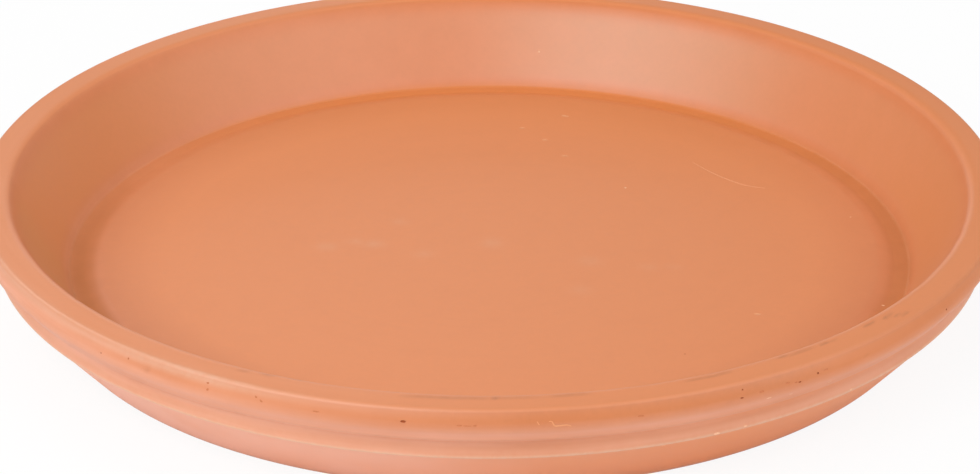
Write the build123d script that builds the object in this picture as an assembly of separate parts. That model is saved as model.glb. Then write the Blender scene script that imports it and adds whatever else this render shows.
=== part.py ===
from build123d import *
import os

# A round plant saucer of unglazed fired clay, pressed in one piece.
# Lengths are in millimetres and +Z is up.
# The origin is the middle of the ring that the saucer stands on.

# Overall size
saucer_diameter = 300.0
saucer_height = 33.5

# Rim band: the thick roll round the top
rim_width = 10.3  # across the flat top, from the lip to the outermost face
rim_face_height = 4.8  # the upright part of the band
rim_tuck_height = 5.3  # the part below it, which tucks in
rim_tuck = 3.8  # how far it tucks in
rim_top_round = 2.8
rim_lip_round = 3.6  # where the top turns down into the dish
rim_belly_round = 4.0

# Hollow pressed into the wall under the rim, and the ledge that it runs out to
hollow_drop = 1.6  # from the rim band's lower edge down to the back of the hollow
hollow_depth = 2.4
ledge_drop = 4.5  # from the back of the hollow down to the edge of the ledge
ledge_flare = 0.8  # how far the hollow runs out again on the way
ledge_step = 0.9  # from that edge in to the top of the lower wall
ledge_step_height = 0.5

# Lower wall and foot
foot_inset = 21.0  # from the outermost face in to the corner of the foot
foot_ring_width = 14.0
foot_recess = 1.2  # the base clears the table by this much inside the ring
foot_recess_flare = 2.0  # the recess opens out by this much on its way down

# Inner wall, gutter and floor
wall_flare = 16.2  # from the lip in to the foot of the inner wall
cove_round = 3.0
floor_height = 8.9  # from the table up to the raised middle of the floor
gutter_depth = 0.9  # the ring round the floor lies this much lower
gutter_width = 4.3
gutter_ramp_width = 4.6

# Radii that the two sides of the section share
outer_radius = saucer_diameter / 2
lip_radius = outer_radius - rim_width
foot_radius = outer_radius - foot_inset


def underside_corners():
    """Corners of the half section from the axis out to the foot, as (radius, height, round)."""
    ring_inner_radius = foot_radius - foot_ring_width
    return [
        (0, foot_recess, 0),
        (ring_inner_radius - foot_recess_flare, foot_recess, 0),
        (ring_inner_radius, 0, 0),
        (foot_radius, 0, 0),
    ]


def outside_corners():
    """Corners up the outside, from the top of the lower wall to the lip."""
    belly_height = saucer_height - rim_face_height
    rim_edge_height = belly_height - rim_tuck_height
    rim_edge_radius = outer_radius - rim_tuck
    hollow_height = rim_edge_height - hollow_drop
    hollow_radius = rim_edge_radius - hollow_depth
    ledge_height = hollow_height - ledge_drop
    ledge_radius = hollow_radius + ledge_flare
    return [
        (ledge_radius - ledge_step, ledge_height - ledge_step_height, 0),
        (ledge_radius, ledge_height, 0),
        (hollow_radius, hollow_height, 0),
        (rim_edge_radius, rim_edge_height, 0),
        (outer_radius, belly_height, rim_belly_round),
        (outer_radius, saucer_height, rim_top_round),
        (lip_radius, saucer_height, rim_lip_round),
    ]


def inside_corners():
    """Corners down the inside, from the foot of the inner wall to the axis."""
    cove_radius = lip_radius - wall_flare
    gutter_height = floor_height - gutter_depth
    ramp_foot_radius = cove_radius - gutter_width
    return [
        (cove_radius, gutter_height, cove_round),
        (ramp_foot_radius, gutter_height, 0),
        (ramp_foot_radius - gutter_ramp_width, floor_height, 0),
        (0, floor_height, 0),
    ]


def make_saucer():
    """Spin the half section round the upright axis, as the press head does."""
    corners = underside_corners() + outside_corners() + inside_corners()
    points = [(radius, height) for radius, height, corner_round in corners]
    rounds = [corner_round for radius, height, corner_round in corners]
    with BuildPart() as saucer:
        with BuildSketch(Plane.XZ):
            with BuildLine():
                FilletPolyline(*points, radius=rounds, close=True)
            make_face()
        revolve(axis=Axis.Z)
    return saucer.part


saucer = make_saucer()
saucer.label = "saucer"
os.makedirs("parts", exist_ok=True)
export_step(saucer, "parts/saucer.step")
print("saucer", saucer.is_valid, "volume %.0f mm3" % saucer.volume, saucer.bounding_box().size)
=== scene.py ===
# %% [markdown]
# # A terracotta plant saucer
# This lesson dresses one round dish of unglazed red clay. The real one is pressed between two dies,
# trimmed at the rim, dried and fired, so it is a single piece, and all of its character is in three
# things: the section that the dies give it, the small marks that handling leaves, and the dry, slightly
# dusty skin of fired clay. The steps follow that order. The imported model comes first, because every size
# is measured from it.

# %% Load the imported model
import cmath
import math
import random

import bmesh
import bpy
import numpy as np
from mathutils import Matrix, Vector, noise
from mathutils.bvhtree import BVHTree


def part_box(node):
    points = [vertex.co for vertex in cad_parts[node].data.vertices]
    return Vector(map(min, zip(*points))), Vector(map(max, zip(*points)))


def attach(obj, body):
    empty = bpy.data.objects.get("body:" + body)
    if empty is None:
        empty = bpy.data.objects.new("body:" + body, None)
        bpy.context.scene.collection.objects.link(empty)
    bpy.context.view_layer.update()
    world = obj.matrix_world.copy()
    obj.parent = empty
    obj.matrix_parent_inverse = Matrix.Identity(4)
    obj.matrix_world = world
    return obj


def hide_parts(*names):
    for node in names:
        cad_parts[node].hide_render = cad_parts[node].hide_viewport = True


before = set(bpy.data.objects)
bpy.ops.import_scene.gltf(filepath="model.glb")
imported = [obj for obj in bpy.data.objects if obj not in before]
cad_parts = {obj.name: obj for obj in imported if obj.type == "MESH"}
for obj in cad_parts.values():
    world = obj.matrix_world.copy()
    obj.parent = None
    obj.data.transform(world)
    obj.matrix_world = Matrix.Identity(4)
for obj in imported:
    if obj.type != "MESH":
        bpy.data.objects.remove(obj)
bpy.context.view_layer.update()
MM = 0.001

cad_low, cad_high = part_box("saucer")
OUTER_RADIUS = round((cad_high.x - cad_low.x) / MM) / 2
HEIGHT = (cad_high.z - cad_low.z) / MM
print("packed saucer: %.1f mm across, %.2f mm high" % (2 * OUTER_RADIUS, HEIGHT))

# %% [markdown]
# ## The camera
# The picture was taken with a long lens from a little under a metre away, looking down by about 25
# degrees. A camera like that could be placed by eye. Here it is worked out instead, from the ellipses
# that the rim, lip and ledge make, because marks will be put on the clay later by where they show in the
# picture. `picture_ray` turns a place in the picture into a line of sight.

# %% Camera
PICTURE_WIDTH, PICTURE_HEIGHT = 980, 474
FOCAL_PIXELS = 3329.6
SENSOR_WIDTH = 36.0
CAMERA_PLACE = Vector((0.13, -889.8, 432.04)) * MM
CAMERA_PITCH = math.radians(25.288)
CAMERA_ROLL = math.radians(-0.081)

lens = bpy.data.cameras.new("long_lens")
lens.sensor_fit = "HORIZONTAL"
lens.sensor_width = SENSOR_WIDTH
lens.lens = FOCAL_PIXELS / PICTURE_WIDTH * SENSOR_WIDTH
lens.clip_start = 0.05
camera = bpy.data.objects.new("camera", lens)
bpy.context.scene.collection.objects.link(camera)
camera.matrix_world = (
    Matrix.Translation(CAMERA_PLACE)
    @ Matrix.Rotation(math.pi / 2 - CAMERA_PITCH, 4, "X")
    @ Matrix.Rotation(CAMERA_ROLL, 4, "Z")
)
bpy.context.scene.camera = camera


def picture_ray(across, down):
    """Direction in which the camera sees a place of the picture, in pixels from its top left corner."""
    right = (across - PICTURE_WIDTH / 2) / FOCAL_PIXELS
    up = (PICTURE_HEIGHT / 2 - down) / FOCAL_PIXELS
    return (camera.matrix_world.to_3x3() @ Vector((right, up, -1))).normalized()


print("camera: %.1f mm lens, %.0f mm from the middle" % (lens.lens, CAMERA_PLACE.length / MM))

# %% [markdown]
# ## The section
# Cut the saucer in half and the cut face shows how it works: a thick rolled rim to grip, a hollow and a
# ledge under it that stiffen the wall, a flared wall, a shallow gutter for the water and a foot ring that
# lifts the base. The face of the rim band leans out from its shoulder to its belly, and light turns along
# it. A turned shape like this could be lathed from a hand-drawn curve. Writing its corners as named sizes
# is better, because each size can be measured and changed by itself. Every corner of fired clay is a
# little round, so each one carries its own radius, down to the half millimetre at the ledge.

# %% Sizes of the section, in millimetres
RIM_WIDTH = 10.3
RIM_FACE_HEIGHT = 4.8
SHOULDER_INSET, BELLY_SWELL = 1.7, 0.45
RIM_TUCK, RIM_TUCK_HEIGHT = 3.8, 5.3
HOLLOW_DEPTH, HOLLOW_DROP = 2.4, 1.6
LEDGE_FLARE, LEDGE_DROP = 0.8, 4.5
LEDGE_STEP, LEDGE_STEP_HEIGHT = 0.9, 0.5
FOOT_INSET, FOOT_RING_WIDTH = 21.0, 14.0
FOOT_RECESS, FOOT_RECESS_FLARE = 1.2, 2.0
WALL_FLARE = 16.2
FLOOR_HEIGHT = 8.9
GUTTER_DEPTH, GUTTER_WIDTH, GUTTER_RAMP_WIDTH = 0.9, 4.3, 4.6

LIP_RADIUS = OUTER_RADIUS - RIM_WIDTH
RIM_EDGE_RADIUS = OUTER_RADIUS - RIM_TUCK
BELLY_HEIGHT = HEIGHT - RIM_FACE_HEIGHT
RIM_EDGE_HEIGHT = BELLY_HEIGHT - RIM_TUCK_HEIGHT
HOLLOW_RADIUS = RIM_EDGE_RADIUS - HOLLOW_DEPTH
HOLLOW_HEIGHT = RIM_EDGE_HEIGHT - HOLLOW_DROP
LEDGE_RADIUS = HOLLOW_RADIUS + LEDGE_FLARE
LEDGE_HEIGHT = HOLLOW_HEIGHT - LEDGE_DROP
FOOT_RADIUS = OUTER_RADIUS - FOOT_INSET
RING_INNER_RADIUS = FOOT_RADIUS - FOOT_RING_WIDTH
COVE_RADIUS = LIP_RADIUS - WALL_FLARE
GUTTER_HEIGHT = FLOOR_HEIGHT - GUTTER_DEPTH
RAMP_FOOT_RADIUS = COVE_RADIUS - GUTTER_WIDTH
RAMP_TOP_RADIUS = RAMP_FOOT_RADIUS - GUTTER_RAMP_WIDTH

# Each corner: radius from the axis, height, rounding, and the longest run of mesh on the way to it
SECTION = [
    (0, FOOT_RECESS, 0, 8),
    (RING_INNER_RADIUS - FOOT_RECESS_FLARE, FOOT_RECESS, 0.8, 8),
    (RING_INNER_RADIUS, 0, 0.8, 1),
    (FOOT_RADIUS, 0, 1.5, 4),
    (LEDGE_RADIUS - LEDGE_STEP, LEDGE_HEIGHT - LEDGE_STEP_HEIGHT, 0.5, 1.6),
    (LEDGE_RADIUS, LEDGE_HEIGHT, 0.4, 0.4),
    (HOLLOW_RADIUS, HOLLOW_HEIGHT, 2.6, 0.8),
    (RIM_EDGE_RADIUS, RIM_EDGE_HEIGHT, 1.2, 0.8),
    (OUTER_RADIUS + BELLY_SWELL, BELLY_HEIGHT, 4.0, 0.8),
    (OUTER_RADIUS - SHOULDER_INSET, HEIGHT, 1.3, 0.8),
    (LIP_RADIUS, HEIGHT, 3.6, 0.8),
    (COVE_RADIUS, GUTTER_HEIGHT, 1.2, 1.6),
    (RAMP_FOOT_RADIUS, GUTTER_HEIGHT, 5, 0.8),
    (RAMP_TOP_RADIUS, FLOOR_HEIGHT, 8, 0.8),
    (0, FLOOR_HEIGHT, 0, 2.5),
]
print("section:", len(SECTION), "corners")

# %% [markdown]
# ## Rounding the corners
# A bevel modifier could round the corners after the spin, but it would give every corner the same width.
# It is cleaner to round the section itself. A point of the section is kept as one complex number, radius
# plus height times `1j`, because then a turn by an angle is one multiplication, and each rounding is an
# arc about a centre.

# %% Rounded outline of the section
ARC_TURN = math.radians(11)


def arc_at(before, corner, after, radius):
    """Points of the arc that rounds one corner between its two neighbours."""
    into = (corner - before) / abs(corner - before)
    away = (after - corner) / abs(after - corner)
    turn = cmath.phase(away / into)
    start = corner - into * radius * math.tan(abs(turn) / 2)
    centre = start + into * 1j * math.copysign(radius, turn)
    count = max(2, math.ceil(abs(turn) / ARC_TURN))
    return [centre + (start - centre) * cmath.exp(1j * turn * k / count) for k in range(count + 1)]


def section_outline():
    """The half section as points from the middle of the underside round to the middle of the floor."""
    places = [complex(radius, height) for radius, height, rounding, run in SECTION]
    outline = [places[0]]
    for k, (radius, height, rounding, longest_run) in enumerate(SECTION[1:], 1):
        arc = arc_at(places[k - 1], places[k], places[k + 1], rounding) if rounding else [places[k]]
        steps = math.ceil(abs(arc[0] - outline[-1]) / longest_run)
        start = outline[-1]
        outline += [start + (arc[0] - start) * step / steps for step in range(1, steps)]
        outline += arc
    return outline


outline = section_outline()
print("outline:", len(outline), "points")

# %% [markdown]
# ## Spinning it
# The die turns the section into a dish, and a Screw modifier with no rise does the same: it is Blender's
# lathe. `bmesh.ops.spin` gives the same surface but takes far longer at this many steps. The lathe's
# result is read back as a mesh of its own, because the unevenness and the pits to come need real points
# and faces to work on. The points that meet on the axis are merged so that the mesh closes.

# %% Spin the saucer
SPIN_STEPS = 600
MERGE_REACH = 0.01 * MM

profile_mesh = bpy.data.meshes.new("section")
runs = [(k, k + 1) for k in range(len(outline) - 1)]
profile_mesh.from_pydata([(point.real * MM, 0, point.imag * MM) for point in outline], runs, [])
profile = bpy.data.objects.new("section", profile_mesh)
bpy.context.scene.collection.objects.link(profile)
lathe = profile.modifiers.new("lathe", "SCREW")
lathe.steps = lathe.render_steps = SPIN_STEPS
lathe.use_merge_vertices = True
lathe.merge_threshold = MERGE_REACH
turned = bpy.data.meshes.new_from_object(profile.evaluated_get(bpy.context.evaluated_depsgraph_get()))
bpy.data.objects.remove(profile)

clay = bmesh.new()
clay.from_mesh(turned)
bmesh.ops.remove_doubles(clay, verts=clay.verts, dist=MERGE_REACH)
bmesh.ops.recalc_face_normals(clay, faces=clay.faces)
open_edges = sum(not edge.is_manifold for edge in clay.edges)
print("spun saucer:", len(clay.verts), "points,", len(clay.faces), "faces,", open_edges, "open edges")

# %% [markdown]
# ## Not quite true
# A pressed saucer sags by a hair as it dries, and the lip is sponged by hand, so no ring on it is a
# perfect circle. The amounts are small, about a tenth of a millimetre, but they let light break along the
# edges. A displace modifier could do it, but here the foot has to stay flat on the table, so each point
# is moved in code by smooth noise that grows with its height, with a finer unevenness near the lip alone.
# The noise has a seed, so that every run sags the same way.

# %% Slow sag and a sponged lip
SAG, SAG_LENGTH, SAG_SEED = 0.14, 90, 5
SPONGE, SPONGE_LENGTH, SPONGE_REACH = 0.10, 9, 3.0

noise.seed_set(SAG_SEED)
for point in clay.verts:
    radius = Vector((point.co.x, point.co.y)).length / MM
    height = point.co.z / MM
    if radius < RING_INNER_RADIUS or height < FOOT_RECESS:
        continue
    outward = Vector((point.co.x, point.co.y, 0)).normalized()
    sag = SAG * (height / HEIGHT) * noise.noise_vector(point.co / (SAG_LENGTH * MM))
    from_lip = math.hypot(radius - LIP_RADIUS, height - HEIGHT)
    sponge = SPONGE * math.exp(-((from_lip / SPONGE_REACH) ** 2))
    rough = noise.noise(point.co / (SPONGE_LENGTH * MM)) * sponge
    point.co += (outward * (min(sag.x, 0) - rough) + Vector((0, 0, min(sag.z, 0) - abs(rough)))) * MM

saucer_mesh = bpy.data.meshes.new("terracotta_saucer")
clay.normal_update()
clay.to_mesh(saucer_mesh)
saucer = bpy.data.objects.new("terracotta_saucer", saucer_mesh)
bpy.context.scene.collection.objects.link(saucer)
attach(saucer, "root")
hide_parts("saucer")
clay_tree = BVHTree.FromBMesh(clay)
clay.free()
print("saucer piece:", len(saucer_mesh.polygons), "faces")

# %% [markdown]
# ## Helpers for colour and nodes
# Colours are written as sRGB hex, as a colour picker shows them, and one function turns them to the
# linear numbers that a shader needs. Another adds a node with its options and links in one line, which
# keeps a material as short as a recipe, and two more make a blend of colours and a sum. The last gives
# the scale of a noise from the real size of what it stands for.

# %% Colour and node helpers


def linear(hex_colour):
    """An sRGB hex colour as the linear RGBA that shader sockets hold."""
    values = [int(hex_colour[k : k + 2], 16) / 255 for k in (1, 3, 5)]
    return [v / 12.92 if v <= 0.04045 else ((v + 0.055) / 1.055) ** 2.4 for v in values] + [1.0]


def add_node(tree, kind, inputs=(), **options):
    """Add one shader node, set its options, and set each input or plug a socket into it."""
    node = tree.nodes.new("ShaderNode" + kind)
    for name, value in options.items():
        setattr(node, name, value)
    for name, value in dict(inputs).items():
        if isinstance(value, bpy.types.NodeSocket):
            tree.links.new(value, node.inputs[name])
        else:
            node.inputs[name].default_value = value
    return node


# Places of the colour sockets on a Mix node, which also has sockets for plain numbers
MIX_A, MIX_B, MIX_RESULT = 6, 7, 2


def blend(tree, amount, first, second):
    """A blend of two colours by an amount from 0 to 1."""
    inputs = {0: amount, MIX_A: first, MIX_B: second}
    return add_node(tree, "Mix", inputs, data_type="RGBA").outputs[MIX_RESULT]


def maths(tree, operation, first, second, **options):
    """The result of one operation on two numbers."""
    return add_node(tree, "Math", {0: first, 1: second}, operation=operation, **options).outputs[0]


def cells_per_metre(size):
    """Scale of a noise texture whose features are about this many millimetres across."""
    return 1 / (size * MM)


print("middle grey in linear numbers:", [round(v, 3) for v in linear("#808080")])

# %% [markdown]
# ## Fired clay
# Terracotta is iron-rich clay, fired once to about a thousand degrees and left bare. The iron gives the
# orange and the pores make it look dry. The press head burnishes the inside and the rim, so soft light
# still slides over them, while the outside comes from a plaster mould and is duller. It is no metal, and
# the index is set a little above that of plain clay for the burnish. Close up it is never one colour: it
# clouds from one centimetre to the next, it has a fine grain, and the turning head drags faint streaks.
# Pots rub the floor lighter, and the floor and rim top also carry painted light from above. The gutter
# stays damp and deeper, with painted shade where the walls shade it, and the left inner wall is painted
# into shade. Hard water leaves a film on the inner wall, with a painted sheen at its back right, and salts
# bloom on the outside together with a painted sheen of the white table. The flame flashes the lower wall
# warmer, with the table's bounce light painted in, edges go chalky where shelves knock them and carry
# painted highlights, and dirt settles along the lip, with painted shade under the rim, in the hollow and
# on the band. Those are painted on the mesh as numbers from 0 to 1 further down, and the material only
# reads them and breaks their borders up with noise.

# %% Colours and sizes of the clay, in millimetres
CLAY = linear("#DF8856")
CLAY_CLOUDED = linear("#DB8452")
RUBBED_AND_TOPLIT_CLAY = linear("#E78E59")
DAMP_AND_SHADED_CLAY = linear("#BF7442")
FLAME_FLASH_AND_PAINTED_LIGHT = linear("#F4954C")
SALT_BLOOM_AND_SHEEN = linear("#F3B093")
CHALKY_EDGE_AND_HIGHLIGHT = linear("#E3B497")
WATER_FILM_AND_SHEEN = linear("#C8935A")
LIP_DIRT_AND_SHADE = linear("#A8643B")
CLAY_ROUGHNESS, ROUGHNESS_SPREAD = 0.45, 0.01
CLAY_IOR = 1.85
DULL_SHEEN, BURNISHED_SHEEN = 0.1, 0.5
CLOUD_SIZE, GRAIN_SIZE, STREAK_LENGTH, STREAK_WIDTH = 9, 1.6, 45, 3
STREAK_SHARE, SHADE_SPREAD = 0.4, 0.015
FLECK_LOW, FLECK_HIGH = 0.4, 1.0
TOOTH_DEPTH, TOOTH_STRENGTH = 0.04, 0.1
NOISE_LOW, NOISE_HIGH = 0.3, 0.7
print("clay: clouds of %.0f mm, grain of %.1f mm" % (CLOUD_SIZE, GRAIN_SIZE))

# %% Clouds, grain and streaks
terracotta = bpy.data.materials.new("terracotta_pressed_and_fired")
terracotta.use_nodes = True
tree = terracotta.node_tree
shader = tree.nodes["Principled BSDF"]
shader.inputs["IOR"].default_value = CLAY_IOR
place = add_node(tree, "TexCoord").outputs["Object"]


def clay_noise(where, size, detail):
    """A noise with features of about this many millimetres."""
    inputs = {"Vector": where, "Scale": cells_per_metre(size), "Detail": detail}
    return add_node(tree, "TexNoise", inputs).outputs[0]


def spread(value, to_low, to_high):
    """The middle of a noise's range, stretched to run between two values."""
    limits = {"From Min": NOISE_LOW, "From Max": NOISE_HIGH, "To Min": to_low, "To Max": to_high}
    return add_node(tree, "MapRange", {"Value": value, **limits}).outputs[0]


# The grain is drawn a little coarser than real grog, which would be too fine to show
clouds = clay_noise(place, CLOUD_SIZE, 4.0)
grain = clay_noise(place, GRAIN_SIZE, 2.0)

# Streaks run round the saucer: long across the floor plan, narrow in radius less height
axes = add_node(tree, "SeparateXYZ", {0: place}).outputs
flat = add_node(tree, "CombineXYZ", {0: axes["X"], 1: axes["Y"]})
reach = add_node(tree, "VectorMath", {0: flat.outputs[0]}, operation="LENGTH")
rise = maths(tree, "SUBTRACT", reach.outputs["Value"], axes["Z"])
thin = maths(tree, "MULTIPLY", rise, STREAK_LENGTH / STREAK_WIDTH)
swept = add_node(tree, "CombineXYZ", {0: axes["X"], 1: axes["Y"], 2: thin})
streaks = clay_noise(swept.outputs[0], STREAK_LENGTH, 2.0)
print("noises: clouds, grain and streaks")

# %% Layers of colour
# Each of these runs a little to either side of 1, to break up the border of a paint
patchy = spread(clouds, 0.85, 1.15)
streaky = spread(streaks, 0.65, 1.35)
gritty = spread(grain, 0.75, 1.25)


def painted(name, breakup):
    """A painted number of the mesh, with its border broken up by a noise that runs about 1."""
    paint = add_node(tree, "Attribute", attribute_name=name)
    return maths(tree, "MULTIPLY", paint.outputs["Fac"], breakup, use_clamp=True)


colour = blend(tree, spread(clouds, 0, 1), CLAY, CLAY_CLOUDED)
# Several of these layers also hold painted light and shade: light from above on the rubbed floor, shade in
# the damp, bounce light in the flash, sheen in the film and the bloom, highlights in the wear and shade in
# the dirt
layers = [
    (painted("rubbed_and_toplit", patchy), RUBBED_AND_TOPLIT_CLAY),
    (painted("damp_and_shade", patchy), DAMP_AND_SHADED_CLAY),
    (painted("flash_and_painted_light", patchy), FLAME_FLASH_AND_PAINTED_LIGHT),
    (painted("film_and_sheen", patchy), WATER_FILM_AND_SHEEN),
    (painted("bloom_and_sheen", streaky), SALT_BLOOM_AND_SHEEN),
    (painted("wear_and_highlight", gritty), CHALKY_EDGE_AND_HIGHLIGHT),
    (painted("dirt_and_shade", gritty), LIP_DIRT_AND_SHADE),
]
for amount, paint_colour in layers:
    colour = blend(tree, amount, colour, paint_colour)
print("colour:", len(layers), "painted layers")

# %% Grain, roughness and sheen
# Grain and streaks lighten and darken the clay by one or two hundredths
fleck = maths(tree, "ADD", grain, maths(tree, "MULTIPLY", streaks, STREAK_SHARE))
flecks = {"Value": fleck, "From Min": FLECK_LOW, "From Max": FLECK_HIGH}
shade = add_node(tree, "MapRange", {**flecks, "To Min": 1 - SHADE_SPREAD, "To Max": 1 + SHADE_SPREAD})
speckled = add_node(tree, "VectorMath", {0: colour, 1: shade.outputs[0]}, operation="MULTIPLY")
matt = spread(grain, CLAY_ROUGHNESS - ROUGHNESS_SPREAD, CLAY_ROUGHNESS + ROUGHNESS_SPREAD)
burnish = add_node(tree, "Attribute", attribute_name="burnish")
sheen = {"Value": burnish.outputs["Fac"], "To Min": DULL_SHEEN, "To Max": BURNISHED_SHEEN}
tooth = add_node(tree, "Bump", {"Height": fleck, "Strength": TOOTH_STRENGTH, "Distance": TOOTH_DEPTH * MM})
tree.links.new(speckled.outputs[0], shader.inputs["Base Color"])
tree.links.new(matt, shader.inputs["Roughness"])
tree.links.new(add_node(tree, "MapRange", sheen).outputs[0], shader.inputs["Specular IOR Level"])
tree.links.new(tooth.outputs[0], shader.inputs["Normal"])
saucer_mesh.materials.append(terracotta)
print("material:", terracotta.name, "with", len(tree.nodes), "nodes")

# %% [markdown]
# ## Broken clay
# A deep pit shows the inside of the wall, rougher and with old dirt in it, and it is coloured nearly
# brown, which paints in the shade inside the pit too. A shallow one is coloured a little darker than the
# skin, a painted shade, as it is too shallow to cast much of its own. A fresh chip is the other way round,
# pale and dusty, and an old scratch or a rubbed place is a little paler than the rest. Each gets a plain
# material of its own with a little grain, and the cutters below carry them into the cuts that they make.

# %% Clay inside pits, chips and scratches
GRIT_SIZE = 0.4
GRIT_LOW, GRIT_HIGH = 0.35, 0.65


def broken_clay(name, light, dark, roughness):
    """Rough clay between two colours, by a grain of a few tenths of a millimetre."""
    material = bpy.data.materials.new(name)
    material.use_nodes = True
    tree = material.node_tree
    shader = tree.nodes["Principled BSDF"]
    shader.inputs["Roughness"].default_value = roughness
    place = add_node(tree, "TexCoord").outputs["Object"]
    grit = add_node(tree, "TexNoise", {"Vector": place, "Scale": cells_per_metre(GRIT_SIZE), "Detail": 2.0})
    limits = {"From Min": GRIT_LOW, "From Max": GRIT_HIGH}
    tone = add_node(tree, "MapRange", {"Value": grit.outputs[0], **limits})
    colour = blend(tree, tone.outputs[0], linear(light), linear(dark))
    tree.links.new(colour, shader.inputs["Base Color"])
    return material


BROKEN = [
    broken_clay("terracotta_deep_pit_dirt_and_shade", "#BE6538", "#A04F2A", 0.9),
    broken_clay("terracotta_shallow_pit_shaded", "#D27F53", "#C87448", 0.8),
    broken_clay("terracotta_freshly_scratched", "#F8CBA8", "#F2BF98", 0.8),
    broken_clay("terracotta_rubbed_pale", "#EBA577", "#E79D6D", 0.6),
]
DEEP, SHALLOW, FRESH, RUBBED = range(len(BROKEN))
print("broken clay:", ", ".join(material.name for material in BROKEN))

# %% [markdown]
# ## Pits, chips and scratches
# Small stones and air leave pits in the rim band, shelves knock chips from the sharp edges, and a pot
# foot scratches the floor. A bump texture could fake them, but a real cut catches light and shadow from
# every side. So each mark is a small cutter: a lumpy ellipsoid for a pit or chip, a thin tube for a
# scratch. A line of sight through the mark's place in the picture finds where it sits on the clay. The
# half that the picture doesn't show gets the same kind of pits at random places, from a fixed seed.

# %% Where the marks are
# Each: pixels across and down, then length, width and depth in millimetres and the tilt in degrees
DEEP_PITS = [
    (403, 421.5, 1.5, 0.7, 0.4, 0), (742.5, 389.7, 0.5, 0.45, 0.3, 0), (742, 398, 0.9, 0.4, 0.3, 0),
    (800, 382, 1.0, 0.4, 0.3, 0), (818, 373, 0.7, 0.5, 0.3, 0), (946.5, 309.5, 0.6, 0.5, 0.3, 0),
    (101, 353, 0.4, 0.4, 0.2, 0),
]
SHALLOW_PITS = [
    (128.5, 358.5, 0.6, 0.5, 0.15, 60), (208, 383, 0.8, 0.55, 0.08, 10), (207.5, 389.5, 1.0, 0.6, 0.08, 50),
    (256, 397, 0.8, 0.5, 0.1, -35), (261, 401, 1.2, 0.5, 0.08, -35), (316, 411.5, 1.8, 0.45, 0.06, 0),
    (459.5, 425.7, 1.5, 0.45, 0.12, 0), (467, 426, 2.2, 0.3, 0.08, 0), (475, 425.8, 0.9, 0.45, 0.15, 0),
    (641, 416, 1.8, 0.6, 0.12, 0), (761.5, 391.7, 1.5, 0.7, 0.1, 0), (787.5, 383.3, 1.3, 0.6, 0.1, 0),
    (796, 382.4, 0.9, 0.4, 0.1, 0), (826, 369.6, 1.6, 0.5, 0.06, 0), (685, 354, 0.6, 0.5, 0.06, 0),
]
FRESH_CHIPS = [
    (664, 445.5, 1.2, 0.3, 0.15, 0), (717, 433.5, 1.8, 0.6, 0.2, 0), (745.5, 426, 1.2, 0.5, 0.2, 0),
    (769, 398, 1.6, 0.4, 0.1, 0), (791, 394, 1.2, 0.4, 0.1, 0), (829.5, 382, 1.6, 0.6, 0.2, 0),
    (851.5, 389.5, 1.1, 0.6, 0.2, 0), (883, 305.4, 1.1, 0.6, 0.15, 0), (539, 51.6, 0.8, 0.7, 0.15, 0),
    (625.4, 187.8, 0.8, 0.7, 0.15, 0), (850.5, 217, 0.5, 0.5, 0.1, 0),
]
RUBBED_DASHES = [
    (565, 156, 2.5, 0.9, 0.06, -10), (545, 140, 2.0, 0.9, 0.06, 0), (565, 116, 2.5, 1.2, 0.06, -20),
    (522, 128, 1.6, 0.9, 0.06, 0), (757, 314, 2.2, 1.1, 0.06, 0),
]
FLOOR_SCRATCH = [(693, 162.5), (706, 170), (722, 177.5), (741, 184.5), (753, 186.8), (765, 188.2)]
RIM_SQUIGGLES = [
    [(537, 421.5), (538.3, 423.4), (539.4, 425.2)],
    [
        (549, 421.6), (551.8, 420.8), (553.2, 424), (555, 426.2),
        (559, 425.6), (564, 425), (569, 424.8), (571.5, 426.3),
    ],
]
MARKS = {DEEP: DEEP_PITS, SHALLOW: SHALLOW_PITS, FRESH: FRESH_CHIPS, RUBBED: RUBBED_DASHES}
print("marks:", sum(len(marks) for marks in MARKS.values()), "pits, chips and rubbed places")

# %% Cutter for one pit or chip
UNEVEN, LUMP_SCALE, LUMP_SHIFT = 0.28, 1.3, 900
NEARLY_LEVEL = 0.3


def lump(cutters, middle, normal, length, width, depth, tilt, finish):
    """Add a lumpy ellipsoid that bites this deep, in metres, with its length along the rim."""
    along = Matrix.Rotation(math.radians(tilt), 3, normal) @ Vector((0, 0, 1)).cross(normal)
    if along.length < NEARLY_LEVEL:
        along = Matrix.Rotation(math.radians(tilt), 3, normal) @ Vector((1, 0, 0))
    along.normalize()
    across = normal.cross(along).normalized()
    made = bmesh.ops.create_icosphere(cutters, subdivisions=2, radius=1)["verts"]
    for vert in made:
        shape = vert.co * (1 + UNEVEN * noise.noise(vert.co * LUMP_SCALE + middle * LUMP_SHIFT))
        vert.co = middle + along * shape.x * length / 2
        vert.co += across * shape.y * width / 2
        vert.co += normal * shape.z * depth
    for face in {face for vert in made for face in vert.link_faces}:
        face.material_index = finish


def sighted(across, down):
    """Point and normal of the clay at a place of the picture."""
    point, normal, face, distance = clay_tree.ray_cast(CAMERA_PLACE, picture_ray(across, down))
    return point, normal


print("one pit or chip is uneven by %.0f percent" % (100 * UNEVEN))

# %% Cutters for all pits and chips
UNSEEN_PITS, MARK_SEED = 26, 11
UNSEEN_FROM, UNSEEN_SPAN = 15, 150
UNSEEN_DEPTH = 0.35

cutters = bmesh.new()
for finish, marks in MARKS.items():
    for across, down, length, width, depth, tilt in marks:
        point, normal = sighted(across, down)
        lump(cutters, point, normal, length * MM, width * MM, depth * MM, tilt, finish)

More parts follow.
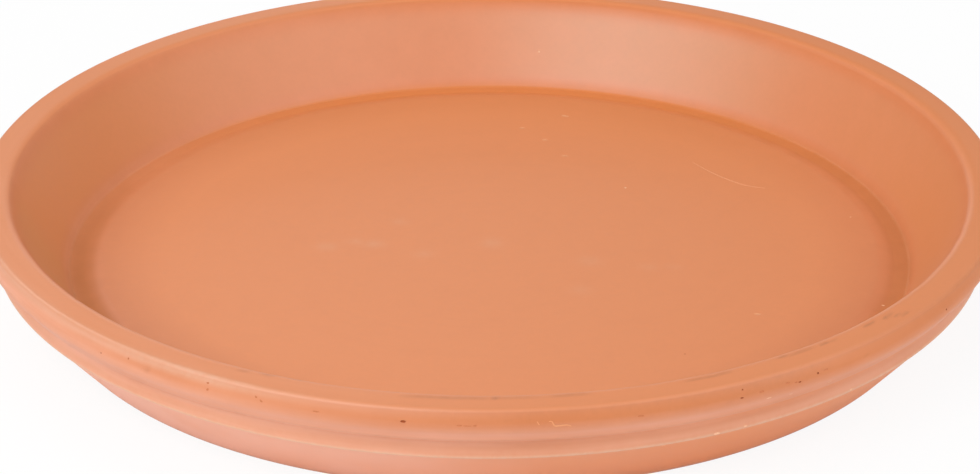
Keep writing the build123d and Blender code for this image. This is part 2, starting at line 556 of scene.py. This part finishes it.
# At the back, two in three lie on the rim band and the others on the lower wall
chance = random.Random(MARK_SEED)
for k in range(UNSEEN_PITS):
    turn = math.radians(UNSEEN_FROM + UNSEEN_SPAN * (k + chance.random()) / UNSEEN_PITS)
    low, high = (BELLY_HEIGHT - 1, HEIGHT - 1) if k % 3 else (6, LEDGE_HEIGHT - 2)
    height = chance.uniform(low, high)
    outside = Vector((math.cos(turn), math.sin(turn), 0))
    start = outside * 2 * OUTER_RADIUS * MM + Vector((0, 0, height * MM))
    point, normal, face, distance = clay_tree.ray_cast(start, -outside)
    size = chance.uniform(0.5, 1.3) * MM
    finish = chance.choice((DEEP, SHALLOW, SHALLOW))
    width = size * chance.uniform(0.4, 0.9)
    tilt = chance.uniform(0, 180)
    lump(cutters, point, normal, size, width, size * UNSEEN_DEPTH, tilt, finish)
print("cutters:", len(cutters.faces), "faces for pits and chips")

# %% Cutters for scratches
SCRATCH_RADIUS, SQUIGGLE_RADIUS = 0.38, 0.25
SCRATCH_LIFT, SCRATCH_END = 0.6, 0.55
WELD_REACH = 0.001 * MM


def scratch(cutters, places, radius, finish):
    """Add a closed tube along picture places, thinner at its ends, of which only the underside cuts."""
    line = bpy.data.curves.new("scratch", "CURVE")
    line.dimensions = "3D"
    line.bevel_depth = radius * MM
    line.bevel_resolution = 1
    line.use_fill_caps = True
    spline = line.splines.new("NURBS")
    spline.points.add(len(places) - 1)
    for k, (point, (across, down)) in enumerate(zip(spline.points, places)):
        where, normal = sighted(across, down)
        point.radius = SCRATCH_END + (1 - SCRATCH_END) * math.sin(math.pi * k / (len(places) - 1))
        point.co = (*(where + normal * point.radius * radius * SCRATCH_LIFT * MM), 1)
    spline.order_u = 3
    spline.use_endpoint_u = True
    holder = bpy.data.objects.new("scratch", line)
    bpy.context.scene.collection.objects.link(holder)
    tube = bpy.data.meshes.new_from_object(holder.evaluated_get(bpy.context.evaluated_depsgraph_get()))
    bpy.data.objects.remove(holder)
    before = len(cutters.faces)
    cutters.from_mesh(tube)
    cutters.faces.ensure_lookup_table()
    for face in cutters.faces[before:]:
        face.material_index = finish


scratch(cutters, FLOOR_SCRATCH, SCRATCH_RADIUS, RUBBED)
for squiggle in RIM_SQUIGGLES:
    scratch(cutters, squiggle, SQUIGGLE_RADIUS, RUBBED)
bmesh.ops.remove_doubles(cutters, verts=cutters.verts, dist=WELD_REACH)
bmesh.ops.recalc_face_normals(cutters, faces=cutters.faces)
print("cutters:", len(cutters.faces), "faces with the scratches")

# %% [markdown]
# ## Cutting
# All cutters go into one mesh, and one exact Boolean takes them out of the clay. Its material mode is set
# to transfer, so each cut keeps the colour of its cutter. The result is read back as the saucer's own
# mesh, shaded smooth except where two faces meet at a sharp angle, which are the lips of the cuts.

# %% Cut the marks
SHARP_LIP = math.radians(40)

cutter_mesh = bpy.data.meshes.new("mark_cutters")
cutters.to_mesh(cutter_mesh)
cutters.free()
for material in BROKEN:
    cutter_mesh.materials.append(material)
cutter = bpy.data.objects.new("mark_cutters", cutter_mesh)
bpy.context.scene.collection.objects.link(cutter)
cut = saucer.modifiers.new("cut_marks", "BOOLEAN")
cut.operation = "DIFFERENCE"
cut.solver = "EXACT"
cut.material_mode = "TRANSFER"
cut.object = cutter
marked = bpy.data.meshes.new_from_object(saucer.evaluated_get(bpy.context.evaluated_depsgraph_get()))
saucer.modifiers.clear()
saucer.data = marked
bpy.data.objects.remove(cutter)
marked.shade_smooth()
marked.set_sharp_from_angle(angle=SHARP_LIP)
print("marked saucer:", len(marked.polygons), "faces,", [m.name for m in marked.materials])

# %% [markdown]
# ## Wear, bloom, damp and dirt, and painted light and shade
# These follow the shape, the saucer's use and the light on it, so they are painted on the mesh's points by
# rule: burnish inside and over the shoulder, a floor rubbed lighter with painted light from above on it
# and on the rim top, a stain at the back of the floor with the warm reflection of the back wall painted
# in, damp in the gutter with painted shade where the walls shade it, painted shade on the left inner wall,
# a film of hard water on the inner wall with a painted sheen at the back right, flame low on the outside
# with the table's bounce light painted in, salts with a painted sheen of the white table, pale wear and
# painted highlights along the outward edges and on the left cove, and dirt in smears along the lip with
# painted shade under the rim, in the hollow and on the band. The lamps, the kiln and the window have a
# side, so most are stronger on one side than on the other. Vertex painting by hand would do as well, but a
# rule can be read and changed. Each paint is a plain number from 0 to 1 that the material reads. A paint is
# written as a coat of layers, each with its strength and the zones that it is limited to. The places come
# first: how far out and how high each point lies, and toward which side.

# %% Places on the saucer
points = np.empty(len(marked.vertices) * 3)
marked.vertices.foreach_get("co", points)
points = points.reshape(-1, 3) / MM
radius = np.hypot(points[:, 0], points[:, 1])
height = points[:, 2]
turn = np.degrees(np.arctan2(points[:, 1], points[:, 0]))


def ramp(values, low, high):
    """0 below one value, 1 above the other, and straight between them."""
    return np.clip((values - low) / (high - low), 0, 1)


def toward(azimuth):
    """1 on the side of the saucer with this azimuth in degrees, -1 on the far side."""
    return np.cos(np.radians(turn - azimuth))


def near(distance, reach, power=2):
    """1 at a place and falling off beyond its reach, with a flatter middle for a higher power."""
    return np.exp(-((distance / reach) ** power))


def coat(*layers):
    """Sum of the layers of a paint, each a strength and the zones that it is limited to."""
    return sum(strength * np.prod(zones, axis=0) for strength, *zones in layers)


print("places:", len(points), "points to paint")

# %% Sides of the saucer
# Each side: its azimuth, with 0 at the right and 90 at the back, and the cosines of the angles from it
# at which a paint begins and at which it is full
# The window side is the side from which the main light comes
WINDOW_SIDE = 215
SIDES = {
    "window": (WINDOW_SIDE, 0.5, 0.9),
    "lit": (WINDOW_SIDE, 0, 0.6),
    "knocked_and_lit_most": (240, 0.975, 1),
    "left": (180, 0, 1),
    "right": (0, 0, 1),
    "damp_and_shade_left": (197, 0.7, 1),
    "damp_and_shade_right": (0, 0.2, 1),
    "dull_right": (0, 0, 0.5),
    "dull_back": (80, 0.4, 0.9),
    "cove_line_left": (180, 0.7, 0.95),
    "stain_and_glow_back": (85, 0.3, 0.9),
    "wall_back_left": (105, 0.85, 1),
    "wall_back_right": (65, 0.9, 1),
    "painted_sheen_back": (67, 0.9, 1),
    "film_and_sheen_left": (194, 0.98, 0.998),
    "sponged_lip": (50, 0.3, 0.8),
    "dusty_floor": (30, 0, 0.8),
    "dry_band": (328, 0.88, 0.95),
    "shaded_band": (318, 0.9, 1),
    "salt_and_sheen_band": (205, 0.85, 0.97),
    "salt_and_sheen_wall": (228, 0.35, 0.9),
    "more_salt_and_sheen_wall": (238, 0.8, 0.97),
    "most_salt_and_sheen_wall": (232, 0.97, 1),
    "salt_and_sheen_foot": (318, 0.93, 1),
    "less_salt_and_sheen_left": (195, 0.85, 0.97),
    "less_salt_and_sheen_right": (335, 0.93, 0.97),
    "warm_hollow": (315, 0.75, 0.95),
}
side = {name: ramp(toward(azimuth), begins, full) for name, (azimuth, begins, full) in SIDES.items()}
window = side["window"]
print("sides:", len(side))

# %% Zones of the inside
# Each zone is 1 in one part of the section and fades out beside it, over so many millimetres.
# The gutter is painted damp and darker, most to the left and a little to the right: a damp mark, with
# painted shade where the walls shade it.
toward_right = toward(0)
inside = radius < LIP_RADIUS - (HEIGHT - height) * 0.3
dish = inside & (height > FOOT_RECESS + 1)
low_down = height < FLOOR_HEIGHT + 1
above_gutter = ramp(height, GUTTER_HEIGHT + 0.2, GUTTER_HEIGHT + 0.9) * (radius > COVE_RADIUS - 1)
gutter_middle = RAMP_FOOT_RADIUS + 1.6 + 0.9 * toward_right
gutter = near(radius - gutter_middle, 4.2, 4) * (1 - above_gutter)
cove_line = dish * above_gutter * ramp(height, GUTTER_HEIGHT + 2.6, GUTTER_HEIGHT + 1.2)
wall = dish * ramp(height, FLOOR_HEIGHT, FLOOR_HEIGHT + 4) * ramp(height, HEIGHT - 1, HEIGHT - 6)
floor_edge = dish * (height < FLOOR_HEIGHT + 0.5) * ramp(radius, 80, 116)
# At the back the floor edge is painted darker and warmer: a stain, with the warm reflection of the back
# wall painted in
stain_and_glow = floor_edge * side["stain_and_glow_back"]
lip = near(radius - LIP_RADIUS - 0.5, 2.5, 4) * ramp(height, HEIGHT - 5, HEIGHT - 3)
print("inside zones: gutter on %d points, wall on %d" % ((gutter > 0.5).sum(), (wall > 0.5).sum()))

# %% Zones of the outside
outside = ~inside & (radius > FOOT_RADIUS - 1)
above_belly = ramp(height, BELLY_HEIGHT - 2.5, BELLY_HEIGHT + 1.5)
low_wall = ramp(height, LEDGE_HEIGHT + 0.4, LEDGE_HEIGHT - 0.4)
tuck = (1 - above_belly) * (1 - low_wall)
under_rim = tuck * ramp(height, LEDGE_HEIGHT + 1, LEDGE_HEIGHT + 3)
band = above_belly * ramp(height, HEIGHT, HEIGHT - 0.8) * (radius > OUTER_RADIUS - RIM_WIDTH / 2)
hollow = near(height - HOLLOW_HEIGHT, 1.2)
slope = ramp(height, HOLLOW_HEIGHT + 0.5, HOLLOW_HEIGHT - 1) * (1 - low_wall)
top = ramp(height, HEIGHT - 0.6, HEIGHT - 0.1)
shoulder = near(np.hypot(radius - OUTER_RADIUS + SHOULDER_INSET, height - HEIGHT), 1.2)
band_face = ramp(height, HEIGHT - 0.2, HEIGHT - 1) * ramp(height, BELLY_HEIGHT - 2, BELLY_HEIGHT)
dry = band_face * side["dry_band"]
print("outside zones: band on %d points, low wall on %d" % ((band > 0.5).sum(), (low_wall > 0.5).sum()))

# %% Paint the inside
# The damp also holds painted shade: the walls shade the gutter at the left and right, and the left inner
# wall, which faces away from the light, is painted darker
left, right = side["left"] ** 2, side["right"] ** 2
damp_and_shade_gutter = coat((0.62, dish, gutter, side["damp_and_shade_left"]), (0.44, dish, gutter, side["damp_and_shade_right"]))
shaded_wall = coat(
    (0.54, wall, left),
    (0.12, wall, right),
    (0.06, wall, side["wall_back_left"]),
    (0.1, wall, side["wall_back_right"]),
)
damp_and_shade = np.maximum(damp_and_shade_gutter, shaded_wall) + 0.26 * stain_and_glow
# A film of hard water on the inner wall, with a painted sheen at the back right where the light's
# reflection lies
film_and_sheen = coat((0.08, wall), (0.22, wall, side["painted_sheen_back"]), (0.16, wall, side["film_and_sheen_left"]))
# The floor rubbed lighter and the rim top at 0.6 also carry painted light from above, besides the rubbing
rubbed_and_toplit = dish * low_down * ramp(radius, RAMP_TOP_RADIUS, RAMP_TOP_RADIUS - 18)
rubbed_and_toplit = np.where(height > HEIGHT - 0.6, 0.6, rubbed_and_toplit)
print("inside: damp, film and rubbed")

# %% Paint the sheen
dull = np.maximum.reduce([side["damp_and_shade_left"], side["dull_right"], side["dull_back"]])
burnish_inside = 1 - gutter * dull - 0.4 * ramp(height, HEIGHT - 6, HEIGHT - 1)
burnish_outside = 0.3 + 0.4 * ramp(height, HEIGHT - 2.4, HEIGHT - 0.8)
burnish = np.where(inside, burnish_inside, burnish_outside)
burnish *= 1 - 0.8 * lip * side["sponged_lip"]
burnish *= 1 - 0.35 * side["dusty_floor"] * ramp(radius, 60, 110) * low_down
burnish *= 1 - 0.8 * dry * outside
print("sheen: from %.2f to %.2f" % (burnish.min(), burnish.max()))

# %% Paint flame and salts, with painted bounce light and sheen
# The flame flashes the lower wall warmer, and the same paint holds painted light: the white table's bounce
# on the lower wall, strongest near the foot away from the light, and a deeper colour that cuts the sheen on
# the left and right inner walls
flash_and_painted_light = coat(
    (0.5, outside, low_wall),
    (0.5, outside, low_wall, ramp(height, 9, 1), 1 - side["lit"]),
    (0.35, outside, hollow, side["warm_hollow"]),
    (0.12, dish, gutter, 1 - toward_right**2),
    (0.4, wall, left),
    (0.28, wall, right),
    (0.06, wall, side["wall_back_left"]),
    (0.2, stain_and_glow),
)
# Salts bloom on the outside, and the bloom also holds a painted sheen: the white table's reflection,
# strongest low on the side of the light, on the band and in the tuck under the rim
salt_and_sheen_kept = (1 - 0.35 * side["less_salt_and_sheen_left"]) * (1 - 0.3 * side["less_salt_and_sheen_right"])
salt_and_sheen_kept *= 1 - 0.2 * slope * (1 - window)
bloom_and_sheen = outside * coat(
    (0.06, low_wall),
    (0.46, low_wall, side["salt_and_sheen_wall"]),
    (0.28, low_wall, side["more_salt_and_sheen_wall"]),
    (0.4, low_wall, side["most_salt_and_sheen_wall"]),
    (0.2, ramp(height, 6, 1), side["salt_and_sheen_foot"]),
    (0.5, tuck, salt_and_sheen_kept),
    (0.15, tuck, salt_and_sheen_kept, toward(WINDOW_SIDE)),
    (0.25, hollow, window),
    (0.24, band, window),
    (0.3, band, side["salt_and_sheen_band"]),
    (0.12, top, window),
)
print("outside: flash and bloom")

# %% Paint wear and highlights
# Each worn edge, whose wear also holds a painted highlight at the shoulder and the ledge: radius, height,
# reach of the wear, its strength all round, and more on the window side, which is the side of the light
WORN_AND_HIGHLIT_EDGES = [
    (OUTER_RADIUS - SHOULDER_INSET, HEIGHT, 0.9, 0.03, 0.5),
    (OUTER_RADIUS - 1.2, HEIGHT - 1.2, 1.1, 0, 0.4),
    (RIM_EDGE_RADIUS, RIM_EDGE_HEIGHT, 0.9, 0.2, 0),
    (LEDGE_RADIUS, LEDGE_HEIGHT + 1.5, 2.2, 0.2, 0.05),
    (LEDGE_RADIUS, LEDGE_HEIGHT, 0.7, 0.88, 0),
    (FOOT_RADIUS, 0, 1.5, 0.2, 0),
]
# Each place where a pot foot has rubbed the floor pale: pixels across and down, half width in mm, strength
PALE_PATCHES = [
    (327, 246.5, 2.8, 0.17), (355, 241.5, 2.2, 0.14), (374, 244, 2.6, 0.2), (400, 222, 2.0, 0.15),
    (424, 254, 2.6, 0.13), (492, 243, 2.8, 0.17), (590, 261, 3.0, 0.14), (581, 290, 3.0, 0.1),
    (648, 267, 2.4, 0.1), (674, 267, 1.8, 0.1),
]

knocked_and_lit = window**4 * (0.6 + 0.4 * side["knocked_and_lit_most"])
# The pale line above the gutter on the left is a painted highlight on the cove
wear_and_highlight = 0.12 * cove_line * side["cove_line_left"]
for edge_radius, edge_height, reach, strength, extra in WORN_AND_HIGHLIT_EDGES:
    from_edge = np.hypot(radius - edge_radius, height - edge_height)
    wear_and_highlight = np.maximum(wear_and_highlight, (strength + extra * knocked_and_lit) * near(from_edge, reach))
for across, down, half_width, strength in PALE_PATCHES:
    from_patch = np.linalg.norm(points - np.array(sighted(across, down)[0]) / MM, axis=1)
    wear_and_highlight = np.maximum(wear_and_highlight, strength * near(from_patch, half_width))
print("wear:", len(WORN_AND_HIGHLIT_EDGES), "edges and", len(PALE_PATCHES), "patches")

# %% Paint dirt and shade
# Each smear of dirt: pixels across and down, half length and half width in millimetres, strength
SMEARS = [
    (412, 396.5, 3, 0.9, 0.2), (438, 397.3, 8, 0.9, 0.32), (466, 397.8, 6, 0.9, 0.3),
    (495.8, 398, 1.2, 0.8, 0.7), (515, 397.6, 6, 0.8, 0.22), (569, 395, 5, 0.8, 0.3),
    (244, 371, 1.6, 0.5, 0.4), (268, 375, 2, 0.5, 0.35), (296, 379.5, 2, 0.5, 0.3),
    (700, 378.5, 4, 0.6, 0.35), (710, 376.8, 3, 0.6, 0.35), (723, 373.3, 2.5, 0.6, 0.35),
    (783, 356.5, 2, 0.6, 0.4), (801, 351.5, 4, 0.6, 0.35), (147, 369.5, 1.4, 0.9, 0.25),
    (507, 420.5, 0.8, 0.6, 0.25), (528, 420.5, 1.5, 0.9, 0.22), (868, 325, 1.4, 0.5, 0.5),
    (873, 322.5, 1.2, 0.4, 0.5), (886, 317.5, 1.4, 0.6, 0.52), (889, 314.5, 1.4, 0.4, 0.4),
    (897, 315.5, 1.4, 0.4, 0.5), (905, 313.5, 1.8, 0.4, 0.5), (824, 343.5, 1.5, 0.5, 0.5),
    (833, 341, 1.5, 0.4, 0.3), (865, 356, 0.9, 0.7, 0.3), (762, 391.7, 1.2, 0.9, 0.3),
    (826, 369.6, 2.5, 0.8, 0.25),
]

# Besides the smears of dirt, this paint holds painted shade: under the rim, in the hollow and on the band,
# darker away from the light
shade_side, deep_shade_side = 1 - 0.7 * window, 1 - 0.85 * window
dirt_and_shade = outside * coat(
    (0.06, under_rim, shade_side),
    (0.08, hollow, 1 - side["warm_hollow"], shade_side),
    (0.02, slope),
    (0.08, shoulder),
    (0.2, band, deep_shade_side),
    (0.1, band, side["shaded_band"], 1 - dry),
    (0.05, low_wall, deep_shade_side),
    (-0.08, dry),
)
for across, down, half_length, half_width, strength in SMEARS:
    smear = np.array(sighted(across, down)[0]) / MM
    offset = points - smear
    along = offset @ (np.array((-smear[1], smear[0], 0)) / math.hypot(smear[0], smear[1]))
    aside = (offset**2).sum(1) - along**2
    dirt_and_shade = np.maximum(dirt_and_shade, strength * near(along, half_length, 4) * np.exp(-aside / half_width**2))
print("dirt:", len(SMEARS), "smears")

# %% Store the paints on the mesh
paints = {
    "burnish": burnish,
    "rubbed_and_toplit": rubbed_and_toplit,
    "damp_and_shade": damp_and_shade,
    "flash_and_painted_light": flash_and_painted_light,
    "film_and_sheen": film_and_sheen,
    "bloom_and_sheen": bloom_and_sheen,
    "wear_and_highlight": wear_and_highlight,
    "dirt_and_shade": dirt_and_shade,
}
for name, values in paints.items():
    marked.attributes.new(name, "FLOAT", "POINT").data.foreach_set("value", values.astype(np.float32))
    print("painted %-7s on %d points" % (name, (values > 0.05).sum()))

# %% [markdown]
# ## The floor
# The saucer stands on a plain white table, which throws a lot of light up under the rim. A white plane
# gives that bounce. Seen by the camera or in a reflection it is mostly plain white, by the Light Path
# node, and a part of it stays ordinary diffuse white so that the soft shadow at the foot still falls on
# it.

# %% White table
TABLE_SIZE = 6.0
TABLE_WHITE = linear("#FDFDFD")
SEEN_PLAIN_SHARE, MIRRORED_PLAIN_SHARE = 0.9, 0.4

table_mesh = bpy.data.meshes.new("table")
half = TABLE_SIZE / 2
corners = [(-half, -half, 0), (half, -half, 0), (half, half, 0), (-half, half, 0)]
table_mesh.from_pydata(corners, [], [(0, 1, 2, 3)])
table = bpy.data.objects.new("table", table_mesh)
bpy.context.scene.collection.objects.link(table)

table_paint = bpy.data.materials.new("table_white_paint")
table_paint.use_nodes = True
tree = table_paint.node_tree
tree.nodes.clear()
path = add_node(tree, "LightPath")
mirrored = maths(tree, "MAXIMUM", path.outputs["Is Glossy Ray"], path.outputs["Is Transmission Ray"])
mirrored = maths(tree, "MULTIPLY", mirrored, MIRRORED_PLAIN_SHARE)
seen = maths(tree, "MULTIPLY", path.outputs["Is Camera Ray"], SEEN_PLAIN_SHARE)
share = maths(tree, "MAXIMUM", seen, mirrored)
matt = add_node(tree, "BsdfDiffuse", {"Color": TABLE_WHITE})
plain = add_node(tree, "Emission", {"Color": (1, 1, 1, 1), "Strength": 1.0})
both = add_node(tree, "MixShader", {0: share, 1: matt.outputs[0], 2: plain.outputs[0]})
add_node(tree, "OutputMaterial", {"Surface": both.outputs[0]})
table_mesh.materials.append(table_paint)
print("table: %.0f m square" % TABLE_SIZE)

# %% [markdown]
# ## The light
# A white studio with no one strong lamp: two broad soft boxes at the front left and the left make the
# highlight along the shoulder, weaker ones all round keep the shadows open, and low white cards at the
# right and the back graze the inner wall and draw the pale line along the lip. One bare lamp would give a
# hard shadow, and a plain white sky no highlight at all. The levels are set so that the clay renders
# about as its colour is written.

# %% Soft boxes and white surroundings
# Each: azimuth and elevation in degrees, distance and size in metres, watts
SOFT_BOXES = {
    "key_front_left": (243, 42, 1.6, 0.9, 9.7),
    "key_left": (208, 38, 1.6, 0.9, 6.4),
    "back_left": (135, 42, 1.6, 0.8, 4.5),
    "front_right": (315, 42, 1.6, 1.0, 5.0),
    "right": (0, 42, 1.6, 0.8, 1.5),
    "back_right": (40, 57, 1.6, 0.8, 1.3),
    "overhead": (90, 78, 1.6, 0.8, 1.0),
    "card_right": (346, 12, 1.6, 0.66, 4.0),
    "card_back": (95, 9, 1.6, 0.5, 1.1),
    "card_back_right": (57, 12, 1.6, 0.5, 0.5),
}
ROOM_LEVEL = 0.24


def soft_box(name, azimuth, elevation, distance, size, watts):
    """A square area lamp, aimed at the middle of the saucer from an azimuth and elevation in degrees."""
    lamp = bpy.data.lights.new(name, "AREA")
    lamp.shape = "SQUARE"
    lamp.size = size
    lamp.energy = watts
    box = bpy.data.objects.new(name, lamp)
    turn, rise = math.radians(azimuth), math.radians(elevation)
    toward = Vector((math.cos(turn) * math.cos(rise), math.sin(turn) * math.cos(rise), math.sin(rise)))
    box.location = toward * distance
    box.rotation_euler = toward.to_track_quat("Z", "Y").to_euler()
    bpy.context.scene.collection.objects.link(box)


for name, settings in SOFT_BOXES.items():
    soft_box(name, *settings)

room = bpy.data.worlds.new("white_room")
room.use_nodes = True
sky = room.node_tree.nodes["Background"]
sky.inputs["Color"].default_value = (1, 1, 1, 1)
sky.inputs["Strength"].default_value = ROOM_LEVEL
bpy.context.scene.world = room
bpy.context.scene.view_settings.view_transform = "Standard"
print("lamps:", ", ".join(SOFT_BOXES))

# %% [markdown]
# The dressed saucer has to keep the imported model's size.

# %% Update the scene
bpy.context.view_layer.update()
